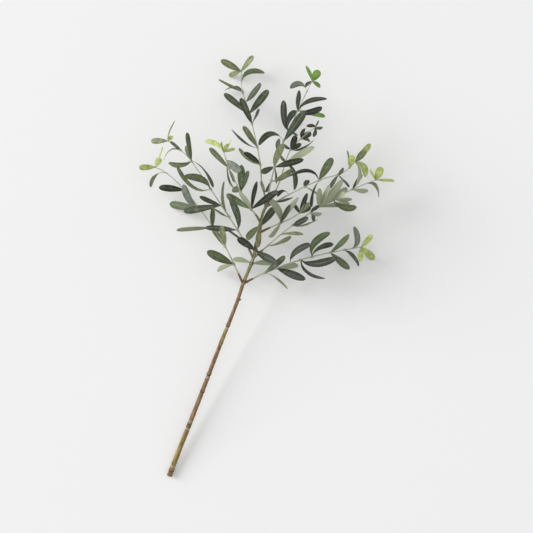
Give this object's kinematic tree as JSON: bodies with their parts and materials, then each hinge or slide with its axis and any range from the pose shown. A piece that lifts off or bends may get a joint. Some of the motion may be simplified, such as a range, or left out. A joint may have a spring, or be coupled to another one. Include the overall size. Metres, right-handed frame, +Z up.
{
  "type": "olive branch",
  "caption": "Cut olive branch lying flat: a long bare stem with a fan of thin side twigs and narrow leaves, no fruit.",
  "frame": {"origin": "on the surface that the branch lies on, under the middle of its bounding box", "axes": "+Y along the main stem from its cut end to the leaves, +Z up from the surface, +X to the right"},
  "size_m": [0.508, 0.867, 0.1793],
  "materials": {
    "stem": "matt ribbed brown bark with darker rings and olive-yellow patches",
    "twig": "matt pale grey-green twig with a reddish brown collar at its foot",
    "leaf": "satin dark grey-green leaf, paler sage beneath, lime on the young leaves"
  },
  "bodies": {
    "root": {"main_stem": "stem", "twig_low_left": "twig", "twig_left": "twig", "twig_inner_left": "twig", "twig_tall_left": "twig", "twig_tall_right": "twig", "twig_inner_right": "twig", "twig_right_upper": "twig", "twig_right_middle": "twig", "twig_right_lower": "twig", "twig_low_right": "twig", "stem_leaves_1": "leaf", "stem_leaves_2": "leaf", "stem_leaves_3": "leaf", "low_left_leaves_1": "leaf", "low_left_leaves_2": "leaf", "low_left_leaves_3": "leaf", "low_left_leaves_4": "leaf", "left_leaves_1": "leaf", "left_leaves_2": "leaf", "left_leaves_3": "leaf", "left_leaves_4": "leaf", "left_leaves_5": "leaf", "left_leaves_6": "leaf", "inner_left_leaves_1": "leaf", "inner_left_leaves_2": "leaf", "inner_left_leaves_3": "leaf", "tall_left_leaves_1": "leaf", "tall_left_leaves_2": "leaf", "tall_left_leaves_3": "leaf", "tall_left_leaves_4": "leaf", "tall_left_leaves_5": "leaf", "tall_right_leaves_1": "leaf", "tall_right_leaves_2": "leaf", "tall_right_leaves_3": "leaf", "tall_right_leaves_4": "leaf", "tall_right_leaves_5": "leaf", "tall_right_leaves_6": "leaf", "inner_right_leaves_1": "leaf", "inner_right_leaves_2": "leaf", "inner_right_leaves_3": "leaf", "right_upper_leaves_1": "leaf", "right_upper_leaves_2": "leaf", "right_upper_leaves_3": "leaf", "right_upper_leaves_4": "leaf", "right_middle_leaves_1": "leaf", "right_lower_leaves_1": "leaf", "right_lower_leaves_2": "leaf", "right_lower_leaves_3": "leaf", "right_lower_leaves_4": "leaf", "right_lower_leaves_5": "leaf", "low_right_leaves_1": "leaf", "low_right_leaves_2": "leaf", "low_right_leaves_3": "leaf", "low_right_leaves_4": "leaf", "low_right_leaves_5": "leaf", "low_right_leaves_6": "leaf"}
  },
  "joints": []
}
